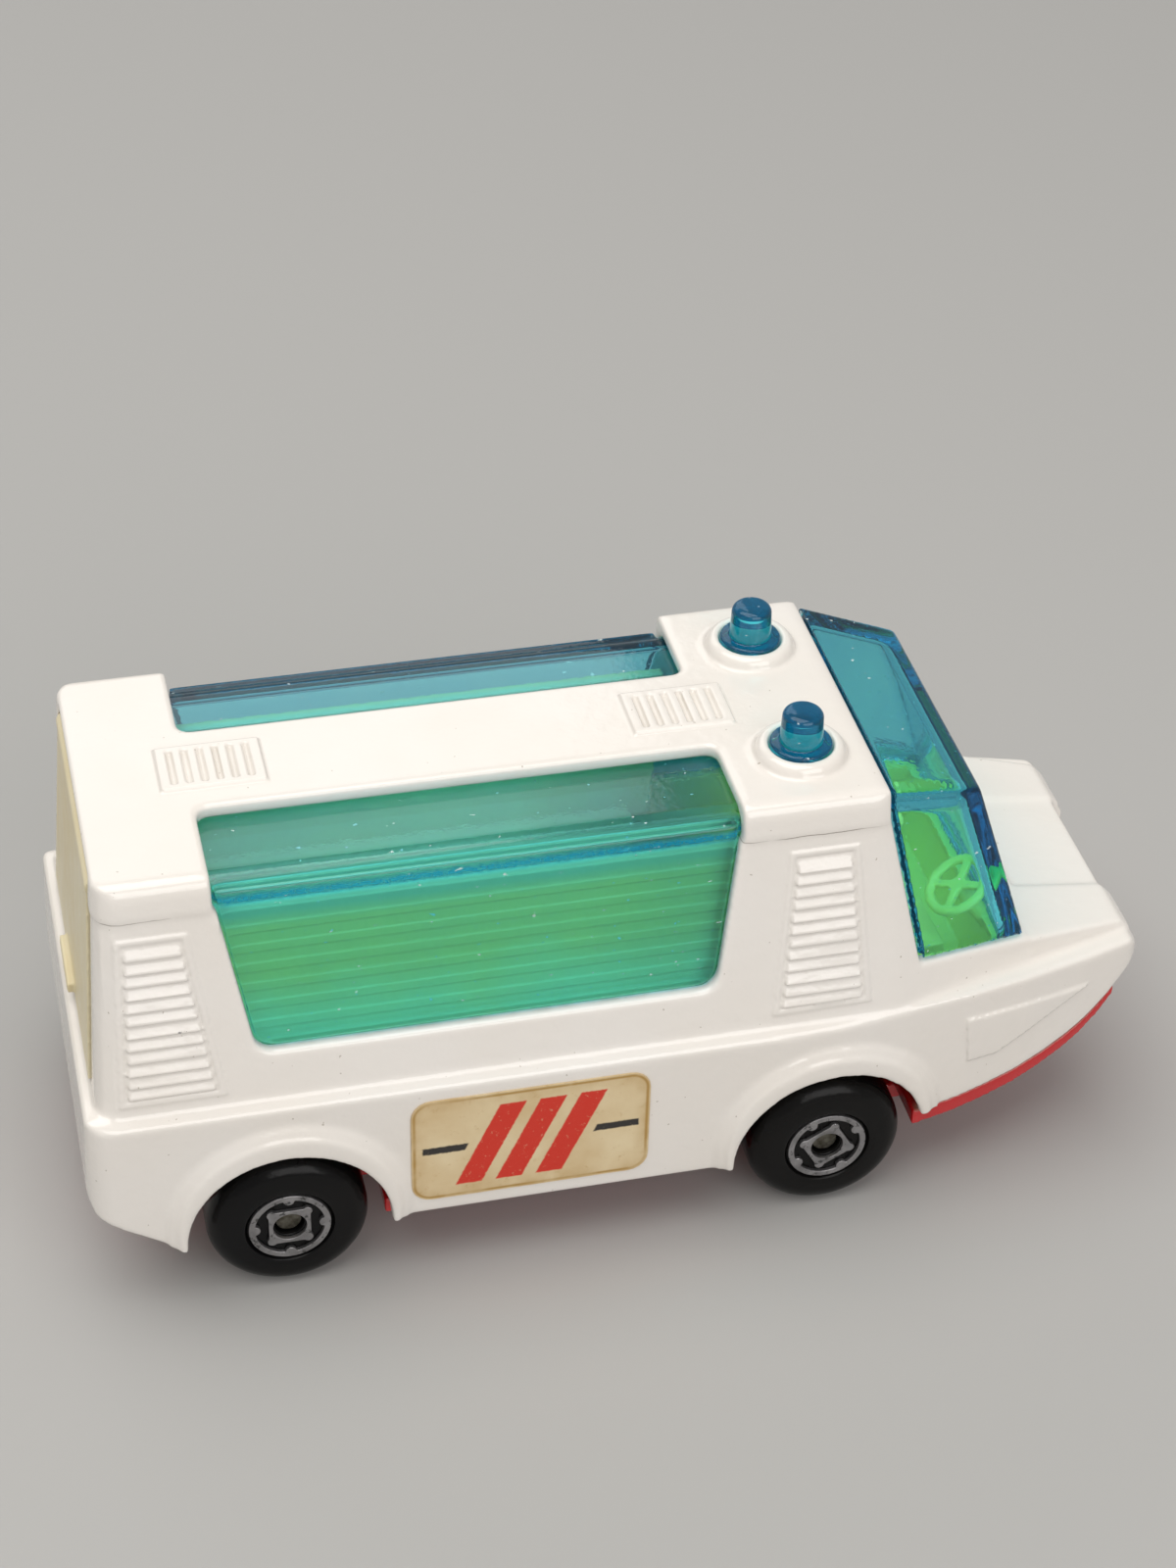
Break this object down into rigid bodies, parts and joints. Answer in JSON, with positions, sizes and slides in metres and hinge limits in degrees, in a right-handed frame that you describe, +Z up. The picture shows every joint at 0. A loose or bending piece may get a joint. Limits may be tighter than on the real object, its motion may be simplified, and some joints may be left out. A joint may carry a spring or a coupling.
{
  "type": "toy ambulance",
  "caption": "Pocket die-cast toy ambulance van with clear blue windows and roof panels, roof beacons, ribbed interior, lifting rear door and free-turning wheels.",
  "frame": {"origin": "on the ground under the middle of the toy's bounding box", "axes": "+X to the nose, +Y to the vehicle's left, +Z up"},
  "size_m": [0.07, 0.0296, 0.0349],
  "materials": {
    "white_paint": "gloss enamel on cast zinc",
    "red_paint": "gloss enamel on cast zinc",
    "blue_clear": "clear tinted, polished, lightly scratched",
    "beacon_blue": "clear tinted, polished",
    "yellow_plastic": "satin moulding",
    "cream_plastic": "satin, yellowed with age",
    "steel": "drawn wire, dulled",
    "dark_plastic": "satin moulding",
    "black_plastic": "gloss moulding",
    "silver_foil": "hot-stamped foil, worn",
    "paper": "printed paper, aged"
  },
  "bodies": {
    "chassis": {"body_shell": "white_paint", "baseplate": "red_paint", "glazing": "blue_clear", "beacon_right": "beacon_blue", "beacon_left": "beacon_blue", "interior": "yellow_plastic", "front_axle": "steel", "rear_axle": "steel", "front_clip": "dark_plastic", "rear_clip": "dark_plastic", "label_right": "paper", "label_left": "paper", "rivets": "steel"},
    "door": {"rear_door": "cream_plastic"},
    "wheel_front_right_set": {"wheel_front_right": "black_plastic", "foil_front_right": "silver_foil"},
    "wheel_front_left_set": {"wheel_front_left": "black_plastic", "foil_front_left": "silver_foil"},
    "wheel_rear_right_set": {"wheel_rear_right": "black_plastic", "foil_rear_right": "silver_foil"},
    "wheel_rear_left_set": {"wheel_rear_left": "black_plastic", "foil_rear_left": "silver_foil"}
  },
  "joints": [
    {"name": "door_lift", "type": "hinge", "parent": "chassis", "child": "door", "pos_m": [-0.03247, 0, 0.0302], "axis": [0, 1, 0], "range_deg": [0, 85]},
    {"name": "front_right_roll", "type": "hinge", "parent": "chassis", "child": "wheel_front_right_set", "pos_m": [0.0129, -0.0121, 0.0052], "axis": [0, 1, 0], "continuous": true},
    {"name": "front_left_roll", "type": "hinge", "parent": "chassis", "child": "wheel_front_left_set", "pos_m": [0.0129, 0.0121, 0.0052], "axis": [0, 1, 0], "continuous": true},
    {"name": "rear_right_roll", "type": "hinge", "parent": "chassis", "child": "wheel_rear_right_set", "pos_m": [-0.0226, -0.0121, 0.0052], "axis": [0, 1, 0], "continuous": true},
    {"name": "rear_left_roll", "type": "hinge", "parent": "chassis", "child": "wheel_rear_left_set", "pos_m": [-0.0226, 0.0121, 0.0052], "axis": [0, 1, 0], "continuous": true}
  ]
}
